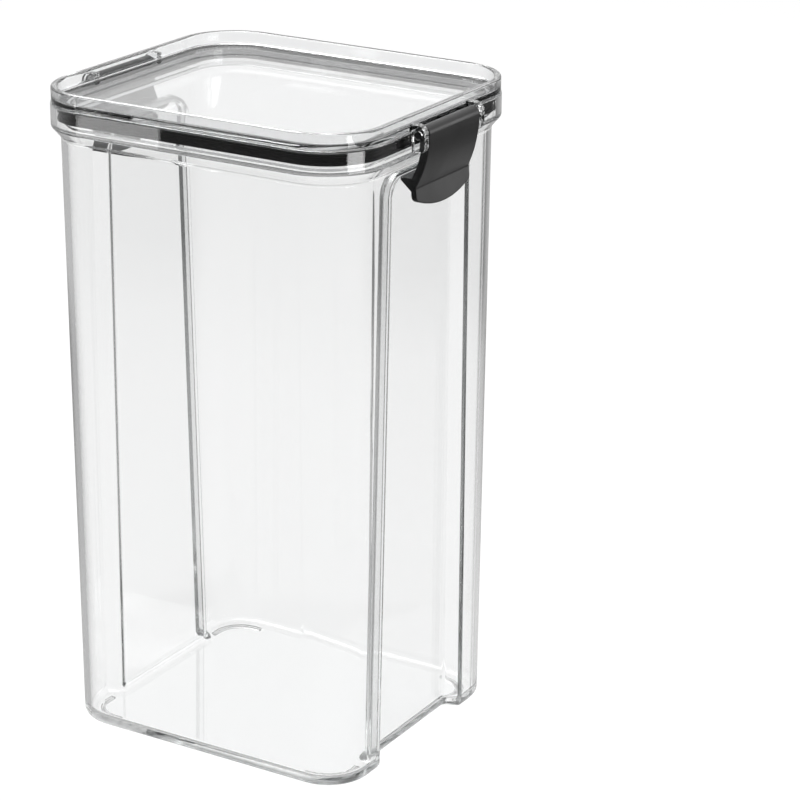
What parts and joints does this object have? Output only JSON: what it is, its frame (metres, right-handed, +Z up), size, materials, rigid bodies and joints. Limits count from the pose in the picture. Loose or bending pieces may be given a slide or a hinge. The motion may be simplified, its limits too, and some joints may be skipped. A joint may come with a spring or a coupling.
{
  "type": "airtight storage container",
  "caption": "Tall clear rounded-square storage jar with a sunken clear lid, black sealing ring and black swing latches on two sides; keeps dry food airtight.",
  "frame": {"origin": "under the middle of the jar, on the plane its corner feet stand on", "axes": "+Z up through the lid, +X towards the right latch, +Y from the front to the back"},
  "size_m": [0.131, 0.1074, 0.22],
  "materials": {
    "clear_plastic": "clear polished moulding",
    "black_silicone": "soft matte",
    "black_plastic": "fine satin moulding"
  },
  "bodies": {
    "jar": {"jar": "clear_plastic"},
    "lid": {"lid": "clear_plastic", "lid_seal": "black_silicone"},
    "latch_left": {"latch_left": "black_plastic"},
    "latch_right": {"latch_right": "black_plastic"}
  },
  "joints": [
    {"name": "lid_lift", "type": "slide", "parent": "jar", "child": "lid", "axis": [0, 0, 1], "range_m": [0, 0.015]},
    {"name": "latch_right_swing", "type": "hinge", "parent": "lid", "child": "latch_right", "pos_m": [0.063, 0, 0.2143], "axis": [0, -1, 0], "range_deg": [0, 130]},
    {"name": "latch_left_swing", "type": "hinge", "parent": "lid", "child": "latch_left", "pos_m": [-0.063, 0, 0.2143], "axis": [0, 1, 0], "range_deg": [0, 130]}
  ],
  "couplings": [
    {"joint": "latch_right_swing", "follows": "lid_lift", "rad_per_m": 151.26},
    {"joint": "latch_left_swing", "follows": "lid_lift", "rad_per_m": 151.26}
  ]
}
